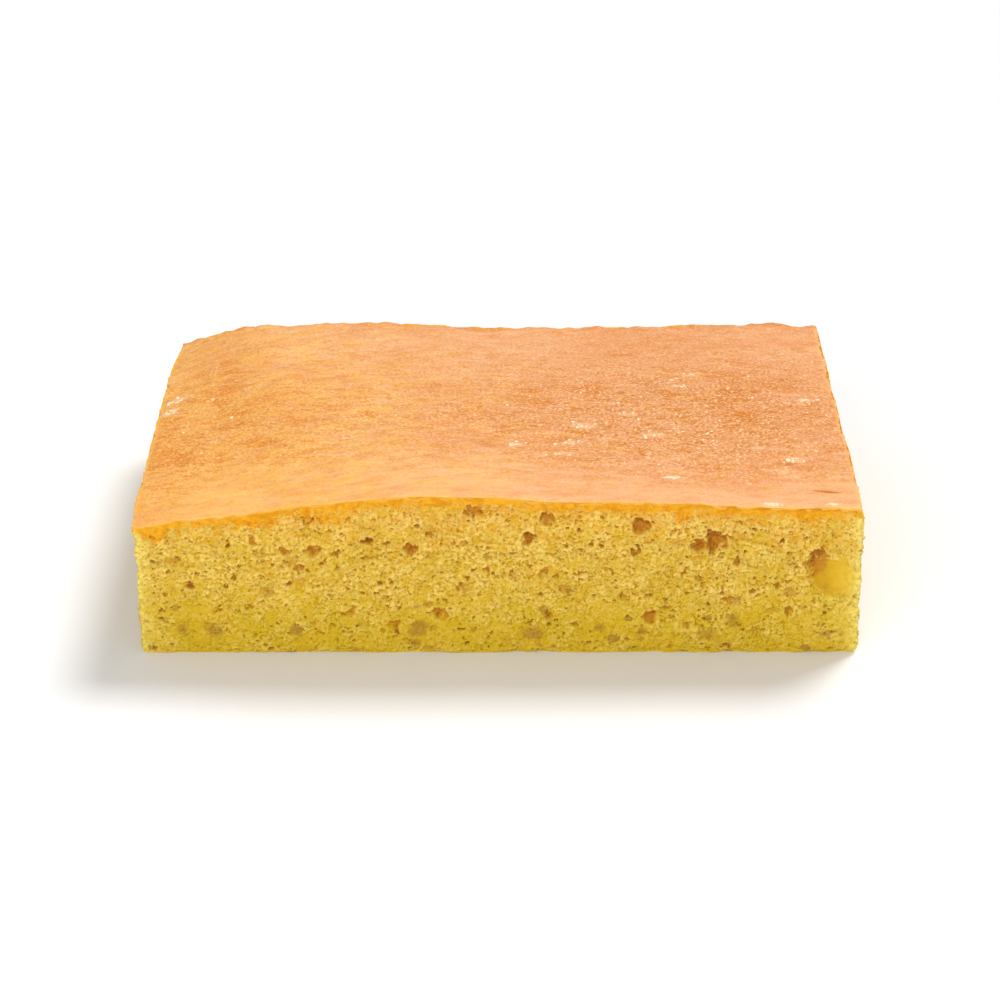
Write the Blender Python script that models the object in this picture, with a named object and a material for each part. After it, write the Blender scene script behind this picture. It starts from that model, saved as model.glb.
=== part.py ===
"""A cornbread square: one thick slab of cornbread, cut on all four sides out of a baked sheet.

The slab rests on its flat underside. The origin is the middle of that underside, +X runs along
the long side, -Y is the front cut and +Z is up. Everything is in metres.
"""
import math
import random

import bmesh
import bpy
from mathutils import Matrix, Vector

# ---- Driving dimensions: the slab over all -------------------------------------------------
WIDTH = 0.192                   # along X
DEPTH = 0.130                   # along Y
HEIGHT = 0.047                  # at the crest of the crown
CELL = 0.0056                   # spacing of the mesh

# ---- The crown: how high the crust stands --------------------------------------------------
PLATEAU = 0.0431                # level of the crust at the front, right of the crest
BACK_FALL = 0.0044              # how much lower the crust lies along the back cut
CREST_X = (-0.018, -0.042)      # middle of the crest, along the front cut and along the back cut
CREST_RISE = (0.0027, 0.0006)   # its rise over the plateau, front and back
CREST_REACH = (0.032, 0.030)    # how far it spreads to the left and to the right
CREST_POWER = (2.0, 3.0)        # 2 gives a bell, 3 a flatter top with a steeper flank
SWELL_X = 0.022                 # a broader rise beside the crest, only near the front cut
SWELL_RISE = 0.0020
SWELL_REACH = 0.045
DIP_X = 0.012                   # middle of the shallow dip along the back cut
DIP_DROP = 0.0010
DIP_REACH = 0.034
SINK_START = (-0.050, -0.068)   # where the left side begins to sink, front and back
SINK_DROP = (0.0055, 0.0062)    # how far it sinks by the left cut, front and back
SINK_CURVE = (1.20, 1.40)       # above 1 the slope steepens towards the cut
WAVES = (                       # soft swells of the crust: length, heading, phase, height
    (0.061, 0.35, 0.4, 0.00026),
    (0.037, 1.25, 2.1, 0.00018),
    (0.023, 2.60, 4.4, 0.00012),
    (0.015, 0.80, 1.3, 0.00008),
)

# ---- The crust's rim and the four cuts -----------------------------------------------------
CRUST = 0.0026                  # thickness of the crust band at a cut
LIP = 0.0007                    # height of the step from the crust band to the crumb
RIM_INSET = 0.0006              # the round of the rim, sideways
RIM_DROP = 0.0007               # the round of the rim, downwards
RIM_BAND = 0.0016               # width of the mesh strip that carries the rim
FOOT = 0.0014                   # height of the small round along the underside
FOOT_INSET = 0.0005
SETBACK = {                     # of the crust band, of the crumb right under it, of the base
    "front": (0.0, 0.0003, 0.0003),
    "back": (0.0, 0.0005, 0.0006),
    "left": (0.0, 0.0008, 0.0004),
    "right": (0.0011, 0.0005, 0.0),
}
TAPER = {"left": (0.0016, 0.0006)}      # the left cut bends in at its back and front ends
TAPER_REACH = 0.022             # length of each bend
CUT_WOBBLE = 0.0005             # how much a cut face wanders in and out
EASE = 0.016                    # how deep into the slab a cut's set-back still moves the mesh

# ---- Air tunnels that the knife has opened -------------------------------------------------
# The large ones of the front cut: place along X, height above the underside, width, height.
FRONT_TUNNELS = (
    (0.0838, 0.0272, 0.0074, 0.0090),
    (0.0562, 0.0325, 0.0064, 0.0080),
    (0.0369, 0.0378, 0.0054, 0.0038),
    (-0.0064, 0.0415, 0.0064, 0.0032),
    (-0.0230, 0.0311, 0.0044, 0.0040),
    (0.0078, 0.0342, 0.0040, 0.0048),
    (-0.0157, 0.0120, 0.0048, 0.0040),
    (0.0124, 0.0396, 0.0042, 0.0038),
)
OTHER_TUNNELS = {"back": 8, "left": 6, "right": 6}      # how many on each other cut
TUNNEL_SIZE = (0.0034, 0.0080)                          # smallest and largest width
TUNNEL_DEPTH = 0.42                                     # depth as a share of the width
TUNNEL_MARGIN = 0.011                                   # kept clear at the ends of a cut
TUNNEL_SEED = 11

# ---- Colours (linear) ----------------------------------------------------------------------
CRUST_COLOUR = (0.90, 0.45, 0.165, 1.0)
CRUMB_COLOUR = (0.68, 0.42, 0.06, 1.0)

# Outward direction of each cut and the direction that runs along it.
SIDES = {
    "front": (Vector((0, -1, 0)), Vector((1, 0, 0))),
    "back": (Vector((0, 1, 0)), Vector((-1, 0, 0))),
    "left": (Vector((-1, 0, 0)), Vector((0, -1, 0))),
    "right": (Vector((1, 0, 0)), Vector((0, 1, 0))),
}


def clear_scene():
    """Remove the objects that the file opened with."""
    for obj in list(bpy.data.objects):
        bpy.data.objects.remove(obj, do_unlink=True)


def new_collection(name):
    """Make a collection under the scene."""
    collection = bpy.data.collections.new(name)
    bpy.context.scene.collection.children.link(collection)
    return collection


def food_material(name, colour, roughness):
    """Make a plain food surface."""
    material = bpy.data.materials.new(name)
    material.use_nodes = True
    shader = material.node_tree.nodes["Principled BSDF"]
    shader.inputs["Base Color"].default_value = colour
    shader.inputs["Roughness"].default_value = roughness
    shader.inputs["Metallic"].default_value = 0.0
    return material


def between(pair, share):
    """Blend from a pair's first value to its second."""
    return pair[0] + (pair[1] - pair[0]) * share


def half_span(side):
    """Half the length of a cut, and how far the cut lies from the middle of the slab."""
    if side in ("front", "back"):
        return WIDTH / 2, DEPTH / 2
    return DEPTH / 2, WIDTH / 2


def crown(x, y):
    """Height of the crust over the underside at (x, y).

    A plateau falls from the front cut to the back cut. A soft crest and a broader swell stand on
    it near the front cut, a shallow dip lies along the back cut, and the left side sinks in a
    slope that steepens towards the left cut. Four long waves make the surface swell a little.
    """
    back = 0.5 + y / DEPTH
    height = PLATEAU - BACK_FALL * back
    crest_x = between(CREST_X, back)
    way = 0 if x < crest_x else 1
    away = abs(x - crest_x) / CREST_REACH[way]
    height += between(CREST_RISE, back) * math.exp(-(away ** CREST_POWER[way]))
    height += SWELL_RISE * (1 - back) * math.exp(-(((x - SWELL_X) / SWELL_REACH) ** 2))
    height -= DIP_DROP * back * math.exp(-(((x - DIP_X) / DIP_REACH) ** 2))
    start = between(SINK_START, back)
    share = max(0.0, (start - x) / (start + WIDTH / 2))
    height -= between(SINK_DROP, back) * share ** between(SINK_CURVE, back)
    for length, heading, phase, rise in WAVES:
        along = x * math.cos(heading) + y * math.sin(heading)
        height += rise * math.sin(2 * math.pi * along / length + phase)
    return height


def wobble(side, along, z):
    """How far a cut wanders inwards: two crossed waves, from zero to CUT_WOBBLE."""
    turn = 1.7 * list(SIDES).index(side)
    wave = math.sin(along / 0.0113 + z / 0.019 + turn) + math.sin(along / 0.0047 - z / 0.0071 + 2 * turn)
    return CUT_WOBBLE * (0.5 + 0.25 * wave)


def inset(side, along, z):
    """How far a cut stands inside the full size at block height z.

    The crust band has its own set-back and its top is rounded in. The crumb below it runs in a
    straight slope from its upper set-back to that of the base, where a small round foot closes it.
    """
    band, upper, base = SETBACK[side]
    bends = TAPER.get(side, (0.0, 0.0))
    bend = bends[0] if along < 0 else bends[1]
    bent = max(0.0, 1 - (half_span(side)[0] - abs(along)) / TAPER_REACH)
    amount = wobble(side, along, z) + bend * bent
    crumb_top = HEIGHT - CRUST
    if z >= crumb_top - 1e-6:
        return amount + band + (RIM_INSET if z >= HEIGHT - 1e-6 else 0.0)
    amount += upper + (base - upper) * (1 - z / crumb_top)
    if z < FOOT - 1e-6:
        amount += FOOT_INSET * (1 - z / FOOT)
    return amount


def steps(start, end, spacing):
    """Evenly spaced places between two ends, both left out, near the spacing asked for."""
    count = max(1, round((end - start) / spacing))
    return [start + (end - start) * i / count for i in range(1, count)]


def slice_block(mesh, axis, places):
    """Cut the block's faces across one axis at each place, so that they carry more vertices."""
    for place in places:
        geometry = mesh.verts[:] + mesh.edges[:] + mesh.faces[:]
        point = axis * place
        bmesh.ops.bisect_plane(mesh, geom=geometry, dist=1e-7, plane_co=point, plane_no=axis)


def make_block():
    """The slab before shaping: a box with its base on z = 0, sliced into cells.

    The strips next to each edge are narrow, because they carry the rim, the lip and the foot.
    """
    mesh = bmesh.new()
    size = Matrix.Diagonal((WIDTH, DEPTH, HEIGHT, 1))
    lift = Matrix.Translation((0, 0, HEIGHT / 2))
    bmesh.ops.create_cube(mesh, size=1, matrix=lift @ size)
    for axis, half in ((Vector((1, 0, 0)), WIDTH / 2), (Vector((0, 1, 0)), DEPTH / 2)):
        near = half - RIM_BAND
        slice_block(mesh, axis, [-near, *steps(-near, near, CELL), near])
    crumb_top = HEIGHT - CRUST
    lip_under = crumb_top - LIP
    band = [lip_under, crumb_top, HEIGHT - 2 * RIM_DROP]
    slice_block(mesh, Vector((0, 0, 1)), [FOOT, *steps(FOOT, lip_under, CELL), *band])
    underside = [face for face in mesh.faces if face.normal.z < -0.5]
    bmesh.ops.dissolve_faces(mesh, faces=underside, use_verts=False)
    return mesh


def shape_slab(mesh):
    """Lift the block's top to the crown and set its four sides back to the cuts.

    Crust keeps its thickness under the crown, and the crumb below it is squeezed to fit. A cut's
    set-back is full on the cut itself and eases out to nothing deeper in the slab.
    """
    crumb_top = HEIGHT - CRUST
    for vertex in mesh.verts:
        point = vertex.co.copy()
        top = crown(point.x, point.y)
        if point.z >= crumb_top - 1e-6:
            vertex.co.z = top - (HEIGHT - point.z)
        else:
            vertex.co.z = point.z * (top - CRUST) / crumb_top
        for side, (outward, along) in SIDES.items():
            depth = half_span(side)[1] - point.dot(outward)
            share = max(0.0, 1 - depth / EASE)
            vertex.co -= outward * share * inset(side, point.dot(along), point.z)
            if depth < 1e-6 and point.z > HEIGHT - RIM_DROP / 2:
                vertex.co.z = top - RIM_DROP


def fit_to_size(mesh):
    """Stretch the shaped slab by a hair, so that it measures exactly the driving dimensions."""
    for axis, size in enumerate((WIDTH, DEPTH, HEIGHT)):
        low = min(vertex.co[axis] for vertex in mesh.verts)
        high = max(vertex.co[axis] for vertex in mesh.verts)
        start = 0.0 if axis == 2 else -size / 2
        for vertex in mesh.verts:
            vertex.co[axis] = start + (vertex.co[axis] - low) * size / (high - low)


def colour_faces(mesh):
    """Give the crust's faces the second material: the top and the band above the crumb."""
    for face in mesh.faces:
        centre = face.calc_center_median()
        in_band = centre.z > crown(centre.x, centre.y) - CRUST
        face.material_index = 1 if in_band else 0


def make_slab(collection, crumb, crust):
    """The slab itself, as one closed solid."""
    mesh = make_block()
    shape_slab(mesh)
    fit_to_size(mesh)
    colour_faces(mesh)
    bmesh.ops.recalc_face_normals(mesh, faces=mesh.faces[:])
    data = bpy.data.meshes.new("cornbread")
    mesh.to_mesh(data)
    mesh.free()
    data.materials.append(crumb)
    data.materials.append(crust)
    data.shade_smooth()
    data.set_sharp_from_angle(angle=math.radians(35))
    slab = bpy.data.objects.new("cornbread", data)
    collection.objects.link(slab)
    return slab


def tunnel_places(side, draw):
    """Places and sizes of a cut's tunnels: along the cut, height, width, height of the tunnel.

    Those of the front cut are named above. The others fall one to each stretch of their cut, at
    heights that keep clear of the crust and the foot.
    """
    if side == "front":
        return FRONT_TUNNELS
    count = OTHER_TUNNELS[side]
    reach = half_span(side)[0] - TUNNEL_MARGIN
    places = []
    for index in range(count):
        along = reach * (2 * (index + draw.uniform(0.25, 0.75)) / count - 1)
        width = draw.uniform(*TUNNEL_SIZE)
        places.append((along, draw.uniform(0.009, 0.028), width, width * draw.uniform(0.6, 1.0)))
    return places


def make_tunnel(name, side, place, draw, collection, crumb):
    """One tunnel: a squashed ball, half sunk in the cut, that will be taken out of the slab."""
    along, height, width, tall = place
    outward, run = SIDES[side]
    depth = half_span(side)[1] - SETBACK[side][1] - CUT_WOBBLE / 2
    centre = outward * depth + run * along + Vector((0, 0, height))
    mesh = bmesh.new()
    bmesh.ops.create_icosphere(mesh, subdivisions=2, radius=1)
    bmesh.ops.scale(mesh, verts=mesh.verts[:], vec=(width / 2, width * TUNNEL_DEPTH, tall / 2))
    tilt = Matrix.Rotation(draw.uniform(-0.5, 0.5), 4, "Y")
    turn = outward.to_track_quat("-Y", "Z").to_matrix().to_4x4()
    bmesh.ops.transform(mesh, verts=mesh.verts[:], matrix=Matrix.Translation(centre) @ turn @ tilt)
    data = bpy.data.meshes.new(name)
    mesh.to_mesh(data)
    mesh.free()
    data.materials.append(crumb)
    data.shade_smooth()
    tunnel = bpy.data.objects.new(name, data)
    tunnel.hide_render = True
    tunnel.display_type = "WIRE"
    collection.objects.link(tunnel)


def make_tunnels(collection, crumb):
    """All the tunnels of the four cuts."""
    draw = random.Random(TUNNEL_SEED)
    for side in SIDES:
        for index, place in enumerate(tunnel_places(side, draw)):
            make_tunnel(f"tunnel_{side}_{index}", side, place, draw, collection, crumb)


def build():
    """Make the slab and open its air tunnels."""
    clear_scene()
    parts = new_collection("cornbread_square")
    cutters = new_collection("air_tunnels")
    crumb = food_material("cornbread_crumb", CRUMB_COLOUR, 0.85)
    crust = food_material("cornbread_crust", CRUST_COLOUR, 0.45)
    slab = make_slab(parts, crumb, crust)
    make_tunnels(cutters, crumb)
    opened = slab.modifiers.new("air tunnels", "BOOLEAN")
    opened.operation = "DIFFERENCE"
    opened.operand_type = "COLLECTION"
    opened.collection = cutters
    opened.solver = "EXACT"


build()
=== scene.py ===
import math
import random
from functools import partialmethod

import bpy
import numpy as np
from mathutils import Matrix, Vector


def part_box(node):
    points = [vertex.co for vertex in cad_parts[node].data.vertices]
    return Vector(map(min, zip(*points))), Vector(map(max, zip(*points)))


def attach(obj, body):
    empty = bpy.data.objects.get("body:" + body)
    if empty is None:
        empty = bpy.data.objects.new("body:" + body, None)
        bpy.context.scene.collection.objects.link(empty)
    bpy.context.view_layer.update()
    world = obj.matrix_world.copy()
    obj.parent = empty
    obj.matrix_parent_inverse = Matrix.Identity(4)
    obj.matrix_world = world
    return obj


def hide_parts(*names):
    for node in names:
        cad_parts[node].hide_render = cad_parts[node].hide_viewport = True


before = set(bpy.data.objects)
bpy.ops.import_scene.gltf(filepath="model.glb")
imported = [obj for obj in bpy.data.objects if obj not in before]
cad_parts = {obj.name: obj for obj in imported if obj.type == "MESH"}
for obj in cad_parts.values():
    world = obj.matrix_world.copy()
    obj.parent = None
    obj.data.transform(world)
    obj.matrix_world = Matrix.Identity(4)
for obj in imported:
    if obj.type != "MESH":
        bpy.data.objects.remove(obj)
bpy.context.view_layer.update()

# ========================
# The crumb: the four faces where the slab was cut out of the baked sheet. It is a soft yellow
# sponge of maize meal. The knife tore it a little, so each face is rough with opened air cells,
# and its uppermost band, just under the crust, is dense and orange.

slab_low, slab_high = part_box("cornbread")
WIDTH = slab_high.x - slab_low.x  # along X
DEPTH = slab_high.y - slab_low.y  # along Y
HEIGHT = slab_high.z  # at the crest of the crown

# The crown: how high the crust stands over the underside.
PLATEAU = 0.0431  # level at the front, right of the crest
BACK_FALL = 0.0044  # how much lower the crust lies along the back cut
CREST_X = (-0.018, -0.042)  # middle of the crest, front and back
CREST_RISE = (0.0027, 0.0006)  # front and back
CREST_REACH = (0.032, 0.03)  # to the left and to the right
CREST_POWER = (2.0, 3.0)  # how flat its bell is, left and right
SWELL = (0.022, 0.002, 0.045)  # a broader rise near the front: x, height, reach
DIP = (0.012, -0.001, 0.034)  # and a dip near the back
SINK_START = (-0.05, -0.068)  # where the left side begins to sink
SINK_DROP = (0.0055, 0.0062)
SINK_CURVE = (1.2, 1.4)
WAVES = (  # length, heading, phase, height
    (0.061, 0.35, 0.4, 0.00026), (0.037, 1.25, 2.1, 0.00018),
    (0.023, 2.6, 4.4, 0.00012), (0.015, 0.8, 1.3, 0.00008),
)

# The rim and the cuts.
CRUST = 0.0026  # thickness of the crust band
FOOT = 0.0014  # small round along the underside
FOOT_INSET = 0.0005
SETBACK = {  # of the crust band, the crumb under it, the base
    "front": (0, 0.0003, 0.0003),
    "back": (0, 0.0005, 0.0006),
    "left": (0, 0.0008, 0.0004),
    "right": (0.0011, 0.0005, 0),
}
TAPER = {"left": (0.0016, 0.0006)}  # the left cut bends in at its back and front ends
TAPER_REACH = 0.022
CUT_WOBBLE = 0.0005
CUT_WAVES = ((0.0113, 0.019, 1), (0.0047, -0.0071, 2))  # reach along and up the cut, turns
CUT_TURN = 1.7  # what one turn is, so that no two cuts are alike
EASE = 0.016  # a cut's set-back fades out this deep in the slab
SKIN = 0.00006  # the crumb lies this far behind the crust's skirt
RIM_TOP = 0.0003  # the crumb's upper edge, under the crust
SIDES = {  # outward direction, and the direction along the cut
    "front": ((0, -1), (1, 0)),
    "back": ((0, 1), (-1, 0)),
    "left": ((-1, 0), (0, -1)),
    "right": ((1, 0), (0, 1)),
}


def between(pair, share):
    """Blend from a pair's first value to its second."""
    return pair[0] + (pair[1] - pair[0]) * share


def metres(*rows):
    """A table in metres: whole numbers are tenths of a millimetre, and shares stay."""
    return [[n / 10000 if isinstance(n, int) else n for n in row] for row in rows]


def smooth(low, high, value):
    """An S-shaped step from 0 at low to 1 at high."""
    share = np.clip((value - low) / (high - low), 0.0, 1.0)
    return share * share * (3 - 2 * share)


def crown(x, y):
    """Height of the crust at (x, y): a plateau that falls to the back, with a bell-shaped crest,
    swell and dip, a power-law sink along the left and four waves."""
    back = 0.5 + y / DEPTH
    height = PLATEAU - BACK_FALL * back
    crest_x = between(CREST_X, back)
    left = x < crest_x
    away = np.abs(x - crest_x) / np.where(left, *CREST_REACH)
    height = height + between(CREST_RISE, back) * np.exp(-(away ** np.where(left, *CREST_POWER)))
    for (place, rise, reach), share in ((SWELL, 1 - back), (DIP, back)):
        height = height + rise * share * np.exp(-(((x - place) / reach) ** 2))
    start = between(SINK_START, back)
    share = np.clip((start - x) / (start + WIDTH / 2), 0.0, None)
    height = height - between(SINK_DROP, back) * share ** between(SINK_CURVE, back)
    for length, heading, phase, rise in WAVES:
        along = x * math.cos(heading) + y * math.sin(heading)
        height = height + rise * np.sin(2 * math.pi * along / length + phase)
    return height


def wobble(side, along, z):
    """How far a cut wanders inwards: two crossed sine waves, from zero to CUT_WOBBLE."""
    turn = CUT_TURN * list(SIDES).index(side)
    wave = sum(np.sin(along / long + z / tall + times * turn) for long, tall, times in CUT_WAVES)
    return CUT_WOBBLE * (0.5 + 0.25 * wave)


def half_span(side):
    """Half the length of a cut, and its distance from the middle of the slab."""
    return (WIDTH / 2, DEPTH / 2) if side in ("front", "back") else (DEPTH / 2, WIDTH / 2)


def bend(side, along):
    """How far a cut bends in towards its two ends: a straight ramp over TAPER_REACH."""
    share = np.clip(1 - (half_span(side)[0] - np.abs(along)) / TAPER_REACH, 0, 1)
    return np.where(along < 0, *TAPER.get(side, (0.0, 0.0))) * share


def scramble(cell, seed):
    """A random number from 0 to 1 for each whole-number cell: its three numbers are multiplied by
    large odd numbers, and their high bits folded back over the low ones."""
    mixed = (cell[..., 0] * 73856093) ^ (cell[..., 1] * 19349663) ^ (cell[..., 2] * 83492791)
    mixed = (mixed + seed * 668265263) & 0xFFFFFFFF
    for fold, factor in ((15, 0x2C1B3C6D), (12, 0x297A2D39)):
        mixed = ((mixed ^ (mixed >> fold)) * factor) & 0xFFFFFFFF
    return ((mixed ^ (mixed >> 15)) & 0xFFFFFF) / 0xFFFFFF


TURN = np.array([[0.36, 0.48, -0.8], [-0.8, 0.6, 0.0], [0.48, 0.64, 0.6]])  # a skew rotation
CORNERS = [np.array((a, b, c)) for a in (0, 1) for b in (0, 1) for c in (0, 1)]
AROUND = [np.array((a, b, c)) for a in (-1, 0, 1) for b in (-1, 0, 1) for c in (-1, 0, 1)]


def cloud(points, size, seed):
    """Smooth noise from -1 to 1: random values on a turned lattice with that spacing, blended
    along each axis with an S-shaped step."""
    scaled = points @ TURN / size
    cell = np.floor(scaled).astype(np.int64)
    part = scaled - cell
    part = part * part * (3 - 2 * part)
    total = 0.0
    for corner in CORNERS:
        weight = np.prod(np.where(corner == 1, part, 1 - part), axis=-1)
        total = total + weight * scramble(cell + corner, seed)
    return 2 * total - 1


def clouds(points, *layers):
    """Several clouds added up, each given as its amount, spacing and seed."""
    return sum(amount * cloud(points, size, seed) for amount, size, seed in layers)


def torn(points, size, amount, seed):
    """The same points, each pushed about by three clouds, so that round edges become ragged."""
    push = [cloud(points, size, seed + axis) for axis in range(3)]
    return points + amount * np.stack(push, axis=-1)


BACK_SWELLS = metres(  # low and high places along the back edge: x, height, reach
    (-830, -10, 90), (-625, -11, 50), (-500, 4, 40), (-350, 7, 60), (-160, 3, 40), (-50, -8, 60),
    (130, 9, 80), (400, -6, 90), (560, -7, 80), (790, 7, 140),
)
BACK_BUMPS = ((0.0006, 0.0052, 77), (0.00036, 0.0024, 83))  # clouds: amount, spacing, seed
BACK_FADE = (0.009, 0.004)  # how far in the swells and the bumps reach


def on_plan(x, y):
    """Points at z = 0, in which patterns of the skins are read."""
    return np.stack([x, y, 0 * x], axis=-1)


def roof(x, y):
    """Height of the crust's surface: the crown, the low and high places along the back edge, each
    a bell along it, and small bumps between them, all dying away towards the front."""
    flat = on_plan(x, y)
    away = DEPTH / 2 - y
    height = crown(x, y) + clouds(flat, *BACK_BUMPS) * np.exp(-away / BACK_FADE[1])
    for place, rise, width in BACK_SWELLS:
        height = height + rise * np.exp(-(((x - place) / width) ** 2) - away / BACK_FADE[0])
    return height


def reach_into(away, inwards, radius):
    """How deep a ball opens under each point: a line inwards leaves the ball at -b + root(b² - c),
    with b the offset along the line and c the squared distance less the squared radius."""
    along = np.sum(away * inwards, axis=-1)
    inside = radius ** 2 - np.sum(away ** 2, axis=-1)
    depth = -along + np.sqrt(np.maximum(along ** 2 + inside, 0.0))
    return np.where(inside > 0, depth, 0.0)


def bubbles(points, inwards, spacing, radii, share, seed):
    """Depth opened by air bubbles. Each cell of a lattice may hold one bubble, at a random place
    and of a random radius, and a point takes the deepest of the bubbles round it."""
    home = np.floor(points / spacing).astype(np.int64)
    deepest = np.zeros(points.shape[:-1])
    for step in AROUND:
        cell = home + step
        spot = np.stack([scramble(cell, seed + axis) for axis in range(3)], axis=-1)
        size = scramble(cell, seed + 3)
        radius = between(radii, size ** 2)
        radius = np.where(scramble(cell, seed + 4) < share, radius, 0.0)
        deepest = np.maximum(deepest, reach_into(points - (cell + spot) * spacing, inwards, radius))
    return deepest


def lumps(points, size, seed):
    """Crumbs packed together: each cell of a lattice holds one centre, and a point belongs to the
    nearest. Gives a random number for that crumb, and how far the point is inside it: the distance
    to the second nearest centre less that to the nearest, in cells."""
    scaled = points / size
    home = np.floor(scaled).astype(np.int64)
    nearest = np.full(points.shape[:-1], 9.0)
    second = np.full(points.shape[:-1], 9.0)
    chosen = np.zeros(points.shape[:-1])
    for step in AROUND:
        cell = home + step
        spot = np.stack([scramble(cell, seed + axis) for axis in range(3)], axis=-1)
        away = np.linalg.norm(scaled - cell - spot, axis=-1)
        closer = away < nearest
        second = np.where(closer, nearest, np.minimum(second, away))
        chosen = np.where(closer, scramble(cell, seed + 3), chosen)
        nearest = np.minimum(nearest, away)
    return chosen, second - nearest


# The large air tunnels that the knife opened: place along the cut, rise, width, height, depth and
# how much painted shade browns the inside.
FRONT_TUNNELS = metres(
    (835, 290, 46, 46, 31, 1.0), (838, 262, 74, 80, 20, 0.6), (884, 222, 124, 112, 14, 0.05),
    (562, 325, 64, 80, 29, 1.0), (520, 316, 42, 46, 20, 0.9), (369, 378, 58, 44, 21, 1.0),
    (-64, 415, 64, 34, 16, 0.8), (-230, 311, 46, 44, 20, 0.9), (78, 342, 42, 52, 24, 1.0),
    (-157, 120, 48, 44, 16, 0.75), (124, 396, 44, 42, 18, 0.8), (-270, 78, 28, 38, 14, 0.8),
    (404, 109, 32, 40, 16, 0.9), (-485, 306, 32, 30, 14, 0.9), (-553, 296, 22, 30, 13, 1.0),
    (-420, 300, 30, 22, 14, 1.0), (766, 124, 26, 30, 13, 0.9), (624, 281, 24, 22, 12, 1.0),
    (487, 232, 26, 15, 10, 1.0), (-30, 235, 22, 36, 12, 1.0), (735, 196, 21, 26, 12, 1.0),
    (610, 157, 28, 21, 11, 0.9), (443, 133, 33, 14, 10, 1.0), (85, 97, 24, 18, 12, 1.0),
    (137, 115, 24, 18, 11, 0.85), (201, 85, 24, 21, 11, 0.8), (121, 238, 34, 28, 10, 0.7),
    (210, 235, 19, 21, 11, 1.0), (-93, 324, 36, 29, 11, 0.7), (-387, 124, 25, 20, 11, 0.85),
    (-734, 127, 28, 18, 10, 0.85), (-339, 277, 42, 18, 11, 0.85), (-637, 333, 23, 22, 11, 0.9),
)
# Cells that lie just behind the front cut; their shade, which shows through it, is painted as soft
# brown spots: place, rise, width, height.
SHADOWS = metres(
    (-208, 73, 52, 40), (90, 61, 46, 38), (620, 100, 36, 34), (550, 55, 52, 36),
    (-832, 70, 38, 40), (-745, 67, 50, 38), (860, 58, 34, 30), (-91, 190, 34, 30),
    (-603, 187, 32, 30), (-853, 277, 36, 28), (662, 397, 30, 28),
)
# The tunnels of the other cuts fall one to each stretch of their cut. They are drawn in the same
# order and from the same seed as in the solid, so that both have them in the same places. The
# tilts are drawn only to keep in step with it.
SOLID_FRONT_TUNNELS = 8
OTHER_TUNNELS = {"back": 8, "left": 6, "right": 6}
TUNNEL_SIZE = (0.0034, 0.008)
TUNNEL_RISE = (0.009, 0.028)
TUNNEL_MARGIN = 0.011
TUNNEL_SHRINK = 0.8  # the torn edges close in on each opening by this share
TUNNEL_DEPTH = 0.3  # as a share of the width
# How much painted shade browns the inside of the other cuts' tunnels.
TUNNEL_SHADE = 0.8  # how brown the inside is
TILT = (-0.5, 0.5)
dice = random.Random(11)
for _ in range(SOLID_FRONT_TUNNELS):
    dice.uniform(*TILT)
TUNNELS = {"front": FRONT_TUNNELS}
for side, count in OTHER_TUNNELS.items():
    reach = half_span(side)[0] - TUNNEL_MARGIN
    TUNNELS[side] = []
    for index in range(count):
        along = reach * (2 * (index + dice.uniform(0.25, 0.75)) / count - 1)
        wide = dice.uniform(*TUNNEL_SIZE)
        rise = dice.uniform(*TUNNEL_RISE)
        tall = wide * dice.uniform(0.6, 1.0)
        opening = (wide * TUNNEL_SHRINK, tall * TUNNEL_SHRINK, TUNNEL_DEPTH * wide, TUNNEL_SHADE)
        TUNNELS[side].append((along, rise, *opening))
    for _ in range(count):
        dice.uniform(*TILT)


def tunnels(points, side):
    """Depth opened by the large tunnels, the same times their share of painted shade, and masks of
    where they are, of the lips around them and of the sleek yellow floor. Each is a squashed ball
    centred on the cut: its depth times 1 - r² to a power, r being the distance in ball widths. The
    power runs from 1.1 at the floor, which slopes gently, to 0.3 at the ceiling, which overhangs."""
    run = SIDES[side][1]
    along = points[..., 0] * run[0] + points[..., 1] * run[1]
    deepest, brown, inside, lip, sleek = (np.zeros(along.shape) for _ in range(5))
    # baked is each tunnel's share of painted shade, which browns its inside.
    for place, rise, wide, tall, deep, baked in TUNNELS[side]:
        up = (points[..., 2] - rise) / (tall / 2)
        r_squared = ((along - place) / (wide / 2)) ** 2 + up ** 2
        power = 0.7 - 0.4 * np.clip(up, -1, 1)
        hollowed = deep * np.maximum(1 - r_squared, 0.0) ** power
        deepest = np.maximum(deepest, hollowed)
        brown = np.maximum(brown, hollowed * baked)
        inside = np.maximum(inside, smooth(1.15, 0.75, r_squared))
        lip = np.maximum(lip, smooth(0.8, 1.05, r_squared) * smooth(1.9, 1.2, r_squared) * baked)
        floor = smooth(1.25, 0.4 + 0.45 * (up > 0), r_squared)
        sleek = np.maximum(sleek, floor * smooth(0.5, 0.1, baked))
    return deepest, brown, inside, lip, sleek


def shadows(points):
    """How much of the painted shade of the buried cells shows at each point of the front cut: a
    bell for each, exp(-r⁴), r being the distance in spot widths."""
    shown = np.zeros(points.shape[:-1])
    for place, rise, wide, tall in SHADOWS:
        across = (points[..., 0] - place) / (wide / 2)
        r_squared = across ** 2 + ((points[..., 2] - rise) / (tall / 2)) ** 2
        shown = np.maximum(shown, np.exp(-(r_squared ** 2)))
    return shown


def box_blur(values, radius):
    """Mean of each grid value's neighbours within the radius, from shifted sums along each axis."""
    for axis in (0, 1):
        pad = [(radius, radius) if a == axis else (0, 0) for a in (0, 1)]
        wide = np.cumsum(np.pad(values, pad, mode="edge"), axis=axis)
        wide = np.concatenate([np.zeros_like(np.take(wide, [0], axis=axis)), wide], axis=axis)
        span = values.shape[axis]
        upper = np.take(wide, np.arange(span) + 2 * radius + 1, axis=axis)
        values = (upper - np.take(wide, np.arange(span), axis=axis)) / (2 * radius + 1)
    return values


scene = bpy.context.scene


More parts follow.
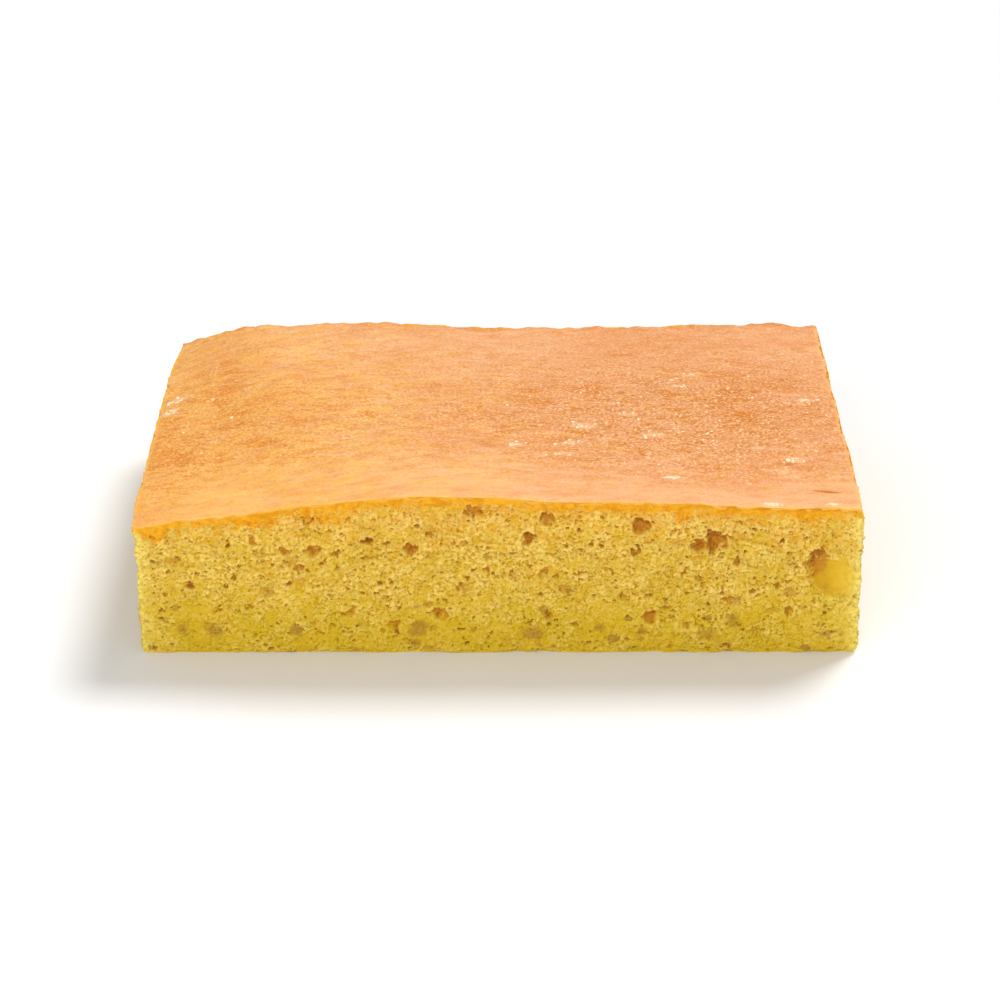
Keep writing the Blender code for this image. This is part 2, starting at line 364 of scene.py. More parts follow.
def new_object(name, data):
    """An object of this data, at the origin, in the scene."""
    thing = bpy.data.objects.new(name, data)
    scene.collection.objects.link(thing)
    return thing


def closed_piece(name, grid, tuck, middle, values, flip=False, normals=None):
    """A grid made into a closed body: its border is joined by a wall to an inner ring, which is
    where tuck moves the border, and the ring by a fan to one middle point. values holds one named
    number for each grid vertex, and normals, where they aren't zero, overrule the grid's own."""
    rows, columns, _ = grid.shape
    count = rows * columns
    index = np.arange(count).reshape(rows, columns)
    first = index[:-1, :-1].ravel()
    faces = np.stack([first, first + 1, first + columns + 1, first + columns], axis=1)
    rim = np.concatenate([index[0, :-1], index[:-1, -1], index[-1, :0:-1], index[:0:-1, 0]])
    points = grid.reshape(-1, 3)
    points = np.concatenate([points, tuck(points[rim]), [middle]])
    ring = count + np.arange(len(rim))
    wall = np.stack([rim, ring, np.roll(ring, -1), np.roll(rim, -1)], axis=1)
    fan = np.stack([ring, np.full(len(rim), count + len(rim)), np.roll(ring, -1)], axis=1)
    if flip:
        faces, wall, fan = faces[:, ::-1], wall[:, ::-1], fan[:, ::-1]
    corners = np.concatenate([faces.ravel(), wall.ravel(), fan.ravel()]).astype(np.int32)
    sizes = np.concatenate([np.full(len(faces) + len(wall), 4), np.full(len(fan), 3)])
    mesh = bpy.data.meshes.new(name)
    mesh.vertices.add(len(points))
    mesh.vertices.foreach_set("co", points.astype(np.float32).ravel())
    mesh.loops.add(len(corners))
    mesh.loops.foreach_set("vertex_index", corners)
    mesh.polygons.add(len(sizes))
    mesh.polygons.foreach_set("loop_start", (np.cumsum(sizes) - sizes).astype(np.int32))
    mesh.update(calc_edges=True)
    mesh.polygons.foreach_set("use_smooth", np.arange(len(sizes)) < len(faces))
    if normals is not None:
        given = np.zeros((len(corners), 3))
        given[:faces.size] = normals.reshape(-1, 3)[corners[:faces.size]]
        mesh.normals_split_custom_set(given.tolist())
    for title, numbers in values.items():
        layer = mesh.attributes.new(title, "FLOAT", "POINT")
        whole = np.concatenate([numbers.ravel(), numbers.ravel()[rim], [numbers.mean()]])
        layer.data.foreach_set("value", whole.astype(np.float32))
    across, up = np.linspace(0.01, 0.99, columns), np.linspace(0.03, 0.99, rows)
    flat = np.stack(np.meshgrid(across, up), axis=-1).reshape(-1, 2)
    flat = np.concatenate([flat, flat[rim], [[0.5, 0.01]]])
    flat[count:, 1] = 0.01
    chart = mesh.uv_layers.new(name="OFBake")
    chart.data.foreach_set("uv", flat[corners].astype(np.float32).ravel())
    return new_object(name, mesh)


CRUMB_CELL = 0.00023  # spacing of the crumb's mesh
SHORT_CELL = 0.00029  # the same along the two short cuts
CORNER_ROUND = 0.00025  # the upright edges are rubbed in by this much
CORNER_REACH = 0.0016
CORNER_TURN = 0.0022  # the inward direction turns this far from the upright edges
BACKING = 0.01  # how far the hidden back of each piece lies inside the slab
BACKING_CLEAR = (0.003, 0.004)  # and how far from the underside and from the crust
SEAM_CELLS = 8  # a stretch is worked out this many cells past its seam
SWELLS = ((0.00025, 0.0085, 15), (0.00022, 0.0036, 16))
TEARS = ((0.0028, 0.0011, 11), (0.0011, 0.0008, 14), (0.00055, 0.00038, 24))  # spacing first
LUMPS = (  # spacing, spread of heights, dome, crevice, seed
    (0.0023, 0.00046, 0.00024, 0.00016, 51),
    (0.0011, 0.00038, 0.00022, 0.00012, 55),
)
LIP_RISE = 0.00035  # the crumb stands up round a tunnel
FRAY_DEPTH = 0.0006  # worn away along the foot
CRACK_DEPTH = 0.00034
# Painted shade given to the cracks, as a depth.
CRACK_SHADE = 0.00024
GRAIN = (0.0002, 0.0005, 61)
NUDGE = 0.0001  # each point is pushed sideways by up to this much
SQUAT = np.array((0.85, 0.85, 1.15))  # cells and lumps are a little wider than they are high


def cut_surface(side, start, end, columns):
    """The bare cut before it is torn: the plane of the cut from start to end, from the underside
    to the crust, moved in by the wobble, the set-backs, the foot and the rubbed corners."""
    reach, distance = half_span(side)
    rows = round(HEIGHT / CRUMB_CELL) + 1
    along, share = np.meshgrid(np.linspace(start, end, columns), np.linspace(0, 1, rows))
    outward, run = (np.array((*pair, 0.0)) for pair in SIDES[side])
    edge = outward * distance + run * along[..., None]
    top = roof(edge[..., 0], edge[..., 1]) - RIM_TOP
    z = share * top
    below = top + RIM_TOP - z

    def inset(cut, place):
        """Set-back of a cut at these heights."""
        band, upper, base = SETBACK[cut]
        under = smooth(CRUST - 0.0005, CRUST + 0.0009, below)
        amount = band + under * (upper - band + (base - upper) * (1 - share)) + bend(cut, place)
        foot = FOOT_INSET * (1 - np.clip(z / FOOT, 0, 1)) ** 2
        return amount + wobble(cut, place, z) + SKIN + foot

    place = edge - outward * inset(side, along)[..., None]
    facing = np.broadcast_to(outward, place.shape)
    for cut, (towards, _) in SIDES.items():
        way = run[0] * towards[0] + run[1] * towards[1]  # -1 at the start of the cut, 1 at its end
        if not way:
            continue
        gap = reach - way * along
        fade = np.clip(1 - gap / EASE, 0, 1)
        rub = CORNER_ROUND * np.clip(1 - gap / CORNER_REACH, 0, 1) ** 2
        other = half_span(cut)[0] * way * -1.0
        shift = fade * (inset(cut, other) + CORNER_ROUND)
        place = place - run * (way * shift)[..., None] - outward * rub[..., None]
        facing = facing + run * (way * np.clip(1 - gap / CORNER_TURN, 0, 1))[..., None]
    place[..., 2] = z
    facing = facing / np.linalg.norm(facing, axis=-1, keepdims=True)
    return place, -facing, below, along


def make_cut(name, side, start, end, cell):
    """A stretch of a cut face. The bare cut swells a little, is opened by tunnels and air bubbles
    and is broken into lumps, each layer taken from where the last one left the surface. Every lump
    is a low dome at its own height, and crevices part them. The two stretches of a long cut agree
    where they meet."""
    reach = half_span(side)[0]
    count = round((end - start) / cell)
    width = (end - start) / count
    past = [SEAM_CELLS if abs(place) < reach / 2 else 0 for place in (start, end)]
    first, last = start - past[0] * width, end + past[1] * width
    bare, inwards, below, along = cut_surface(side, first, last, count + 1 + sum(past))
    z = bare[..., 2]
    low = smooth(0.03, 0.006, z)
    loose = smooth(0.001, 0.0036, below + 0.001 * cloud(bare, 0.004, 12))
    edge = smooth(0.0003, 0.0011, below) * smooth(0, 0.0006, z)
    pool = 0.9 * cloud(torn(bare, 0.003, 0.0015, 18), 0.0042, 17) + 0.45 * low - 0.1
    pool = smooth(0, 0.8, pool)
    rough = (0.4 + 0.6 * loose) * (1 - 0.35 * pool) * edge

    ragged = bare
    for size, amount, seed in TEARS:
        ragged = torn(ragged, size, amount, seed)
    opened, brown, hollow, lip, sleek = tunnels(ragged, side)
    lip = lip * smooth(-0.1, 0.7, cloud(bare, 0.0022, 19))
    airy = 0.4 + 0.6 * smooth(0.0025, 0.008, below)
    frayed = smooth(-0.2, 0.8, cloud(torn(bare, 0.0012, 0.0005, 91), 0.003, 94))
    frayed = smooth(0.0026, 0, z) * frayed
    depth = edge * (loose * clouds(bare, *SWELLS) + opened - LIP_RISE * lip) + FRAY_DEPTH * frayed
    # air gathers how deep the tunnels, cells and cracks open; it sets the painted shade in them.
    air = edge * brown
    calm = 1 - 0.3 * hollow * (1 - sleek) - sleek
    layers = (  # spacing, radii, share of the lattice, seed, weight
        (0.006, (0.0005, 0.0017), 0.3, 21, 0.62),
        (0.0031, (0.0004, 0.0012), 0.32, 31, 0.8 - 0.3 * low),
        (0.0016, (0.0003, 0.0008), 0.46, 41, rough),
        (0.0009, (0.0002, 0.0005), 0.35, 46, rough),
    )
    for spacing, radii, share, seed, weight in layers:
        here = torn(bare + inwards * depth[..., None], spacing * 0.3, spacing * 0.18, seed + 5)
        here = torn(here, spacing * 0.12, spacing * 0.1, seed + 8) * SQUAT
        found = bubbles(here, inwards, spacing, radii, share, seed)
        found = found * weight * loose * airy * edge * calm
        depth = depth + found
        air = air + found
    here = bare + inwards * depth[..., None]
    # Cells just under the cut, whose shade shows through it as painted soft brown spots.
    buried_shade = bubbles((here + 0.0008 * inwards) * SQUAT, inwards, 0.0034, (0.0005, 0.0019), 0.6, 71)
    tone = 0.0
    for size, height, dome, crevice, seed in LUMPS:
        chosen, within = lumps(torn(here, size * 0.5, size * 0.38, seed + 30) * SQUAT, size, seed)
        shape = height * (chosen - 0.5) - dome * (smooth(0, 0.6, within) - 0.5)
        depth = depth + rough * calm * (shape + crevice * smooth(0.12, 0, within))
        tone = tone + 0.5 * chosen
    crack = np.abs(cloud(torn(here, 0.0009, 0.0004, 87) * (0.7, 0.7, 1.3), 0.0017, 69))
    crack = smooth(0.12, 0, crack) * smooth(0.05, 0.5, cloud(here, 0.0021, 90))
    depth = depth + CRACK_DEPTH * rough * calm * crack
    air = air + CRACK_SHADE * rough * calm * crack
    grain = cloud(here, *GRAIN[1:])
    depth = depth + GRAIN[0] * rough * calm * grain
    place = bare + inwards * depth[..., None]
    nudge = np.stack([cloud(here, 0.0007, 63 + axis) for axis in range(3)], axis=-1)
    place = place + NUDGE * edge[..., None] * nudge

    proud = box_blur(depth, 4) - depth
    crisp = box_blur(depth, 1) - depth
    rising = np.gradient(box_blur(depth, 1), axis=0) / CRUMB_CELL
    # Paler where the crumb stands proud: partly the cell walls' own paler colour, partly a painted
    # highlight on the raised crumb.
    pale = smooth(-0.00036, 0.00044, proud + 0.5 * crisp)
    pale = pale * (0.55 + 0.45 * smooth(1.1, 0.1, tone + 0.3 * grain))
    patchy = clouds(here, (1.0, 0.0034, 67), (0.7, 0.0015, 68))
    pale = np.clip(pale * (0.45 + 0.95 * smooth(-0.75, 0.85, patchy)), 0, 1)
    pale = 0.7 * pale + 0.3 * box_blur(pale, 1)
    # Painted shade in the open cells and cracks, from how deep they go.
    pit_shade = np.clip(box_blur(air, 1) / 0.0014 - 0.09, 0, 1)
    fleck = smooth(0.00004, 0.00026, crisp + 0.3 * proud) * (1 - sleek)
    buried_shade = smooth(0, 0.0022, buried_shade) * (0.6 + 0.4 * low)
    if side == "front":
        buried_shade = np.maximum(buried_shade, 0.9 * shadows(torn(ragged, 0.0012, 0.0006, 88)))
    seam = [np.abs(along - place) for place, cells in zip((start, end), past) if cells]
    values = {
        "pale": pale * (1 - 0.45 * pool) * (0.4 + 0.6 * loose) * (1 - 0.35 * hollow) * (1 - sleek),
        # The painted shade is deeper at the ceilings of the cells, which face down.
        "pit_shade": pit_shade * (0.68 + 0.32 * np.clip(-1.3 * rising, -1, 1)) * (1 - 0.55 * fleck),
        # Painted shade in the crevices between the lumps.
        "crevice_shade": smooth(-0.00014, -0.00042, crisp + 0.25 * proud) * loose,
        "buried_shade": buried_shade * (1 - pit_shade) * loose,
        "pool": np.maximum(pool * loose, sleek),
        "sleek": sleek,
        "below": np.clip(below / 0.01, 0, 1),
        # A painted glow along the upright corners at the ends of each cut.
        "end": (1.0 if side == "front" else 0.4) * np.exp(-(reach - np.abs(along)) / 0.003),
        "seam": np.exp(-((seam[0] / 0.001) ** 2)) if seam else np.zeros_like(along),
    }
    normals = np.cross(np.gradient(place, axis=1), np.gradient(place, axis=0))
    normals = normals / np.linalg.norm(normals, axis=-1, keepdims=True)
    if seam:
        normals = normals * (seam[0] < width / 2)[..., None]
    kept = slice(past[0], past[0] + count + 1)
    place = place[:, kept]
    values = {title: numbers[:, kept] for title, numbers in values.items()}
    outward, run = (np.array((*pair, 0.0)) for pair in SIDES[side])

    def tuck(rim):
        """The hidden back, clear of the other cuts and of the skins."""
        u = rim @ run
        shift = np.clip(u, BACKING - reach, reach - BACKING) - u
        rim = rim - outward * BACKING + run * shift[:, None]
        under, over = BACKING_CLEAR
        rim[:, 2] = np.clip(rim[:, 2], under, crown(rim[:, 0], rim[:, 1]) - over)
        return rim

    middle = outward * (half_span(side)[1] - BACKING) + run * (start + end) / 2
    middle = middle + np.array((0, 0, HEIGHT / 2))
    normals = normals[:, kept] if seam else None
    return closed_piece(name, place, tuck, middle, values, normals=normals)


class Graph:
    """A fresh material and short ways to build its nodes. A plain value given to a socket is set
    on it, and what another node gives is linked to it."""

    def __init__(self, name):
        self.material = bpy.data.materials.new(name)
        self.material.use_nodes = True
        self.tree = self.material.node_tree
        self.position = self.add("ShaderNodeTexCoord").outputs["Object"]

    def feed(self, socket, value):
        if isinstance(value, (int, float, tuple)):
            socket.default_value = value
        else:
            self.tree.links.new(value, socket)

    def add(self, kind, **settings):
        """A node with these settings, each a socket or a property of it."""
        node = self.tree.nodes.new(kind)
        for key, value in settings.items():
            if key in node.inputs:
                self.feed(node.inputs[key], value)
            else:
                setattr(node, key, value)
        return node

    def put(self, settings):
        """Give the Principled shader these settings."""
        for title, value in settings.items():
            self.feed(self.tree.nodes["Principled BSDF"].inputs[title], value)

    def number(self, title):
        """One of the mesh's own named numbers."""
        return self.add("ShaderNodeAttribute", attribute_name=title).outputs["Fac"]

    def sums(self, operation, *terms, clamp=False):
        node = self.add("ShaderNodeMath", operation=operation, use_clamp=clamp)
        for socket, value in zip(node.inputs, terms):
            self.feed(socket, value)
        return node.outputs[0]

    plus = partialmethod(sums, "ADD")
    times = partialmethod(sums, "MULTIPLY")
    scaled = partialmethod(sums, "MULTIPLY_ADD")

    def blend(self, share, first, second, kind="MIX"):
        """The second colour laid over the first by that share."""
        node = self.add("ShaderNodeMix", data_type="RGBA", blend_type=kind)
        self.feed(node.inputs[0], share)
        for socket, colour in zip(node.inputs[6:8], (first, second)):
            self.feed(socket, (*colour, 1) if isinstance(colour, tuple) else colour)
        return node.outputs[2]

    def coats(self, colour, *layers):
        """Layers laid over a colour in turn, each given as its share and its own colour."""
        for share, paint in layers:
            colour = self.blend(share, colour, paint)
        return colour

    def step(self, value, low, high, start=0.0, end=1.0):
        """An S-shaped step from start at low to end at high."""
        node = self.add("ShaderNodeMapRange", interpolation_type="SMOOTHSTEP", Value=value)
        for socket, setting in zip(node.inputs[1:5], (low, high, start, end)):
            socket.default_value = setting
        return node.outputs["Result"]

    def noise(self, size, detail=2.0, stretch=None, seed=0.0, bent=0.0):
        source = self.position
        if stretch or seed:
            spot = {"Scale": stretch or (1, 1, 1), "Location": (seed, seed, seed)}
            source = self.add("ShaderNodeMapping", Vector=source, **spot).outputs[0]
        grain = {"Scale": 1 / size, "Detail": detail, "Distortion": bent}
        return self.add("ShaderNodeTexNoise", Vector=source, **grain).outputs["Fac"]

    def bump(self, height, distance, strength=1.0):
        node = self.add("ShaderNodeBump", Strength=strength, Distance=distance, Height=height)
        self.put({"Normal": node.outputs["Normal"]})


def crumb_material():
    """Torn maize crumb: pale where a lump stands proud, partly the cell walls' own colour and
    partly a painted highlight; golden brown painted shade in the air cells, darker painted shade in
    the crevices and soft brown painted shade where cells lie just under the cut; a painted glow at
    the ends of each cut; a clear saturated yellow in the denser pools, and an orange band under the
    crust."""
    g = Graph("crumb")
    x, _, z = g.add("ShaderNodeSeparateXYZ", Vector=g.position).outputs
    fine = g.scaled(g.noise(0.0006, 3, seed=3), 1, -0.5)
    level = g.plus(z, g.scaled(g.noise(0.009), 0.02, -0.01))
    foot, top = g.step(level, 0.006, 0.024), g.step(level, 0.028, 0.044)
    ripe = g.blend(foot, (0.655, 0.445, 0.006), (0.685, 0.41, 0.01))
    ripe = g.blend(top, ripe, (0.79, 0.39, 0.018))
    milky = g.blend(foot, (0.665, 0.48, 0.014), (0.705, 0.475, 0.062))
    milky = g.blend(top, milky, (0.82, 0.475, 0.094))
    light = g.scaled(fine, 1.1, g.number("pale"))
    light = g.times(light, g.step(level, 0, 0.024, 0.6, 1), clamp=True)
    floor = g.blend(g.step(x, 0.0835, 0.0905), (0.6, 0.32, 0.01), (0.73, 0.44, 0.014))
    spot = g.blend(g.step(level, 0.01, 0.028), (0.46, 0.245, 0.03), (0.6, 0.285, 0.02))
    pit_shade = g.scaled(fine, 0.45, g.number("pit_shade"))
    end_glow_breakup = g.step(g.noise(0.0013, 3, seed=14), 0.38, 0.62, 0.35, 1)
    ragged = g.scaled(g.noise(0.002, 4, seed=5), 0.7, -0.35)
    ragged = g.plus(ragged, g.step(g.noise(0.0085, 1, seed=9), 0.5, 0.78, 0, -0.3))
    thin = g.step(x, -0.04, -0.065)
    ragged = g.times(ragged, g.scaled(thin, 0.9, 1))
    under = g.plus(g.scaled(thin, 0.07, g.number("below")), ragged)
    baked = g.step(g.noise(0.0018, 4, seed=8), 0.34, 0.66)
    baked = g.blend(baked, (0.76, 0.3, 0.004), (0.91, 0.44, 0.015))
    brim = g.times(g.step(g.number("below"), 0.04, 0.16, 0.8, 0), g.step(x, 0.045, 0.07))
    body = g.coats(
        g.blend(g.step(g.noise(0.0026, seed=12), 0.36, 0.64), ripe, milky),
        (g.times(g.number("pool"), 0.6), (0.69, 0.44, 0.012)),
        # Pale raised crumb: partly its own colour, partly a painted highlight.
        (light, (0.93, 0.66, 0.155)),
        (g.times(g.number("sleek"), 0.85), floor),
        # Painted shade of the cells just under the cut.
        (g.times(g.number("buried_shade"), g.plus(fine, 0.78)), spot),
        # Painted shade in the open cells: golden brown, darker where they are deep.
        (g.step(pit_shade, 0.02, 0.46, 0, 0.9), (0.56, 0.235, 0.022)),
        (g.step(pit_shade, 0.45, 1, 0, 0.9), (0.39, 0.11, 0.01)),
        # Painted shade in the crevices.
        (g.times(g.number("crevice_shade"), 0.7), (0.36, 0.105, 0.004)),
        # Painted glow at the ends of the cut, broken up by noise.
        (g.times(g.number("end"), end_glow_breakup), (0.97, 0.79, 0.2)),
        (g.step(under, 0.13, 0.42, 0.92, 0), baked),
        (brim, (0.62, 0.205, 0.004)),
    )
    g.put({
        "Base Color": body,
        "Roughness": 0.7,
        "Specular IOR Level": 0.08,
        "Subsurface Weight": g.scaled(g.number("seam"), -0.3, 0.3),
        "Subsurface Radius": (1, 0.62, 0.22),
        "Subsurface Scale": 0.001,
    })
    g.bump(g.noise(0.0003, 3, seed=7), 0.0001, 0.7)
    return g.material


crumb_finish = crumb_material()
STRETCHES = (  # the long cuts are made in two: name, cut, start and end in half lengths, spacing
    ("crumb_front_left", "front", -1, 0, CRUMB_CELL),
    ("crumb_front_right", "front", 0, 1, CRUMB_CELL),
    ("crumb_back_right", "back", -1, 0, CRUMB_CELL),
    ("crumb_back_left", "back", 0, 1, CRUMB_CELL),
    ("crumb_left", "left", -1, 1, SHORT_CELL),
    ("crumb_right", "right", -1, 1, SHORT_CELL),
)
for name, side, start, end, cell in STRETCHES:
    half = half_span(side)[0]
    piece = make_cut(name, side, start * half, end * half, cell)
    piece.data.materials.append(crumb_finish)
    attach(piece, "root")
    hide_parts("cornbread")

# ========================
# The crust: the browned top of the slab, a thin peach and orange skin with faint streaks, soft
# dimples and a few shiny grains, whose glints are painted highlights. It was baked in one with the
# crumb and rolls over at the cuts.

CRUST_CELLS = (0.00078, 0.00036)  # spacing of the crust's mesh along X and along Y
RIM_ROUND = 0.00025  # radius of the rim
RIM_EASE = 0.0016  # the crust bends down a little before the rim
RIM_SLOPE = 0.00025
SKIRT = 0.00015  # the skin shows this far down the cut
RIM_STEPS = 4
SKIN_TUCK = 0.006  # the hidden wall of a skin leans in by this much


def rim_places(half, spacing):
    """Places across a skin, evenly spaced from rim to rim, then RIM_STEPS more at each end: the
    place on the skin and the length beyond the rim."""
    count = round(2 * half / spacing)
    core = np.linspace(-half, half, count + 1)
    arc = RIM_ROUND * math.pi / 2
    over = np.append(np.linspace(0, arc, RIM_STEPS)[1:], arc + SKIRT)
    place = np.concatenate([np.full(RIM_STEPS, -half), core, np.full(RIM_STEPS, half)])
    beyond = np.concatenate([-over[::-1], np.zeros(count + 1), over])
    return place, beyond


def roll_over(beyond):
    """How far out and how far down the skin goes for a length beyond the rim: a quarter circle,
    and then straight down."""
    angle = np.minimum(beyond / RIM_ROUND, math.pi / 2)
    down = RIM_ROUND * (1 - np.cos(angle)) + np.maximum(beyond - RIM_ROUND * math.pi / 2, 0)
    return RIM_ROUND * np.sin(angle), down


def plan_of_skin(spacing_x, spacing_y):
    """Plan of a skin: each place, the length beyond the rim and its direction."""
    across, over_x = rim_places(WIDTH / 2, spacing_x)
    deep, over_y = rim_places(DEPTH / 2, spacing_y)
    x, y = np.meshgrid(across, deep)
    beyond = np.stack(np.meshgrid(over_x, over_y), axis=-1)
    length = np.linalg.norm(beyond, axis=-1)
    heading = beyond / np.maximum(length, 1e-9)[..., None]
    return x, y, length, heading


def skin_inset(x, y, band, height, extra):
    """How far each place of a skin is moved in, in plan, and its distance to the nearest cut. Each
    cut's set-back fades out towards the middle of the slab."""
    inset = np.zeros(x.shape + (2,))
    near = np.full(x.shape, 1.0)
    for side, (outward, run) in SIDES.items():
        gap = half_span(side)[1] - (x * outward[0] + y * outward[1])
        along = x * run[0] + y * run[1]
        amount = SETBACK[side][band] + wobble(side, along, height) + bend(side, along) + extra
        inset = inset + np.array(outward) * (amount * np.clip(1 - gap / EASE, 0, 1))[..., None]
        near = np.minimum(near, gap)
    return inset, near


def skin_piece(name, place, values, lift, middle, flip=False):
    """A skin closed by a wall that leans in by SKIN_TUCK and climbs by the lift, and by a fan to
    a middle at that height."""
    def tuck(rim):
        rim[:, :2] = rim[:, :2] * (1 - SKIN_TUCK / np.abs(rim[:, :2]).max(axis=0))
        rim[:, 2] = rim[:, 2] + lift
        return rim

    return closed_piece(name, place, tuck, (0, 0, middle), values, flip=flip)


def streaks(x, y, length, breadth, lean, seed):
    """Noise drawn out along X: a cloud in squeezed coordinates, skewed by the lean."""
    return cloud(on_plan(x / length, (y - lean * x) / breadth), 1.0, seed)


def spots(x, y, places, stretch):
    """Soft round spots, each a bell in plan: 1 in its middle, of its own size, and as many times
    longer along X as the stretch."""
    total = np.zeros_like(x)
    for spot_x, spot_y, size in places:
        away = ((x - spot_x) / (size * stretch)) ** 2 + ((y - spot_y) / size) ** 2
        total = np.maximum(total, np.exp(-away))
    return total


def groove(x, y, start, end, breadth):
    """A short groove: 1 on the line from start to end, falling off to its sides as a bell."""
    run = np.array(end) - start
    share = np.clip(((x - start[0]) * run[0] + (y - start[1]) * run[1]) / (run @ run), 0, 1)
    away = np.hypot(x - start[0] - share * run[0], y - start[1] - share * run[1])
    taper = 0.35 + 0.65 * np.sin(math.pi * np.clip(share, 0.02, 0.98))
    return np.exp(-((away / (breadth * taper)) ** 2))


# The shiny specks are painted as highlights.
GLINTS = metres(  # shiny specks gather here: x, y, size
    (240, -130, 22), (50, -270, 16), (190, -250, 14), (180, -330, 15), (120, -350, 12),
    (460, -470, 14), (550, 250, 8), (510, 160, 13), (360, -40, 15), (420, -190, 20),
    (700, -270, 14), (800, -350, 18), (860, 60, 18), (-910, 190, 20), (-930, 100, 18),
    (-780, -160, 10),
)
# These patches also get a painted reflection.
SHINY = metres(  # and these patches of the rim and the crust are bare and moist
    (710, -630, 17), (460, -470, 15), (50, -270, 8), (880, -630, 12), (860, 60, 9), (510, 220, 7),
    (-920, 120, 10),
)
PITS = metres(  # and these are shallow dimples, browner than the rest
    (-540, -100, 28), (-650, -220, 22), (-620, -470, 22), (-880, -250, 36), (310, 160, 20),
    (350, 80, 16), (230, -10, 14), (230, -370, 17), (690, -380, 18), (670, 180, 26),
    (370, 420, 22), (-780, 170, 20), (-930, 20, 26),
)

ROUGH_ZONES = (  # how rough, x, reach along it, y, reach along it
    (1, 0.05, 0.056, -0.006, 0.04), (0.4, -0.086, 0.02, -0.002, 0.044),
    (0.3, -0.05, 0.034, -0.01, 0.03),
)
CHIPS = ((0.00034, 0.0034, 78), (0.00026, 0.0014, 85))  # of the rim
RAGGED_EDGE = ((0.00028, 0.0023, 84), (0.0002, 0.0012, 86))

SWELL_HEIGHT = 0.00018
DIMPLE_DEPTH = 0.00032
DENT_DEPTH = 0.00035  # of the PITS
WRINKLE_HEIGHT = 0.00014
FINE_HEIGHT = (0.00006, 0.00016)  # of the fine wrinkles, where the crust is smooth and rough
PUCKER_HEIGHT = (0.00003, 0.00015)
SLIT_DEPTH = 0.0006
NICK_DEPTH = 0.0005


def make_crust():
    """The crust: the crown with swells, dimples, drawn-out wrinkles and a fine pucker, a slit and
    a nick near the front, rolled over at the four cuts."""
    x, y, length, heading = plan_of_skin(*CRUST_CELLS)
    out, down = roll_over(length)
    inset, near = skin_inset(x, y, 0, HEIGHT, RIM_ROUND)
    fx, fy = x + heading[..., 0] * length, y + heading[..., 1] * length
    flat = on_plan(fx, fy)

    lean = 0.42 * smooth(0.01, -0.09, fx) - 0.1 * smooth(0.02, 0.09, fx)
    rough = 0.0
    for amount, spot_x, reach_x, spot_y, reach_y in ROUGH_ZONES:
        away = ((fx - spot_x) / reach_x) ** 2 + ((fy - spot_y) / reach_y) ** 2
        rough = rough + amount * np.exp(-away)
    left = smooth(0.03, -0.01, fx)
    front = fy + 0.005 * cloud(flat, 0.015, 70) - 0.009 * left + 0.02 * smooth(-0.07, -0.094, fx)
    rough = np.clip(0.22 + rough, 0, 1)
    rough = rough * smooth(-0.058 - 0.006 * left, -0.042 + 0.008 * left, front)
    swell = cloud(flat, 0.016, 71)
    pushed = torn(flat, 0.003, 0.001, 79)
    pit = np.clip(spots(pushed[..., 0], pushed[..., 1], PITS, 1.7), 0, 1)
    dimple = smooth(0.2, 0.75, cloud(torn(flat * (0.6, 1.0, 1.0), 0.004, 0.0012, 76), 0.0052, 72))
    wide_streak = streaks(fx, fy, 0.0095, 0.0023, lean, 73)
    fine_streak = streaks(fx, fy, 0.0036, 0.0011, lean, 74)
    pucker = cloud(flat * (0.6, 1.0, 1.0), 0.0011, 75)
    slit = groove(fx, fy, (0.0825, -0.0538), (0.0905, -0.0551), 0.00075)
    nick = groove(fx, fy, (-0.0728, -0.0589), (-0.0692, -0.0566), 0.0005)
    relief = SWELL_HEIGHT * swell - DIMPLE_DEPTH * dimple * (0.3 + rough) - DENT_DEPTH * pit
    relief = relief + WRINKLE_HEIGHT * wide_streak + between(FINE_HEIGHT, rough) * fine_streak
    relief = relief + between(PUCKER_HEIGHT, rough) * pucker - SLIT_DEPTH * slit - NICK_DEPTH * nick

    slope = RIM_SLOPE * np.clip(1 - near / RIM_EASE, 0, 1) ** 2
    chipped = np.clip(1 - near / 0.002, 0, 1) * clouds(flat, *CHIPS)
    out = out + np.clip(length / 0.0002, 0, 1) * clouds(flat, *RAGGED_EDGE)
    place = np.empty(x.shape + (3,))
    place[..., :2] = on_plan(x, y)[..., :2] - inset + heading * out[..., None]
    place[..., 2] = roof(x, y) + relief + chipped - slope - down

    tone = 0.42 + 0.2 * cloud(flat, 0.034, 81) + 0.14 * cloud(flat, 0.013, 82)
    tone = tone + 0.16 * smooth(-0.055, -0.092, fx) * smooth(0.055, 0.015, fy) + 0.24 * rough
    tone = tone - (0.2 + 0.16 * smooth(0, 0.06, fx)) * smooth(-0.036, -0.06, front)
    behind = smooth(DEPTH / 2 - 0.004, DEPTH / 2 - 0.001, fy)
    tone = tone + 0.3 * behind - 0.14 * smooth(-0.045, -0.07, fx) * smooth(0.005, 0.04, fy)
    tone = tone + 0.34 * dimple * (0.3 + rough) + 0.45 * pit
    tone = tone + 0.22 * wide_streak + 0.14 * fine_streak
    values = {
        "tone": np.clip(tone, 0, 1.2),
        "rough": rough,
        "glint": spots(fx, fy, GLINTS, 1.8),
        "shine": spots(fx, fy, SHINY, 1.9),
        # Painted shade in the slit and the nick.
        "slit_shade": np.clip(slit + 0.45 * nick, 0, 1),
        # Masks for a painted glow on the rolled rim and near the cuts.
        "rim": np.clip(length / (RIM_ROUND * math.pi / 2), 0, 1) * (1 - 0.85 * behind),
        "near": np.clip(near / 0.004 + behind, 0, 1),
    }
    return skin_piece("crust", place, values, lift=-0.008, middle=PLATEAU - 0.012)


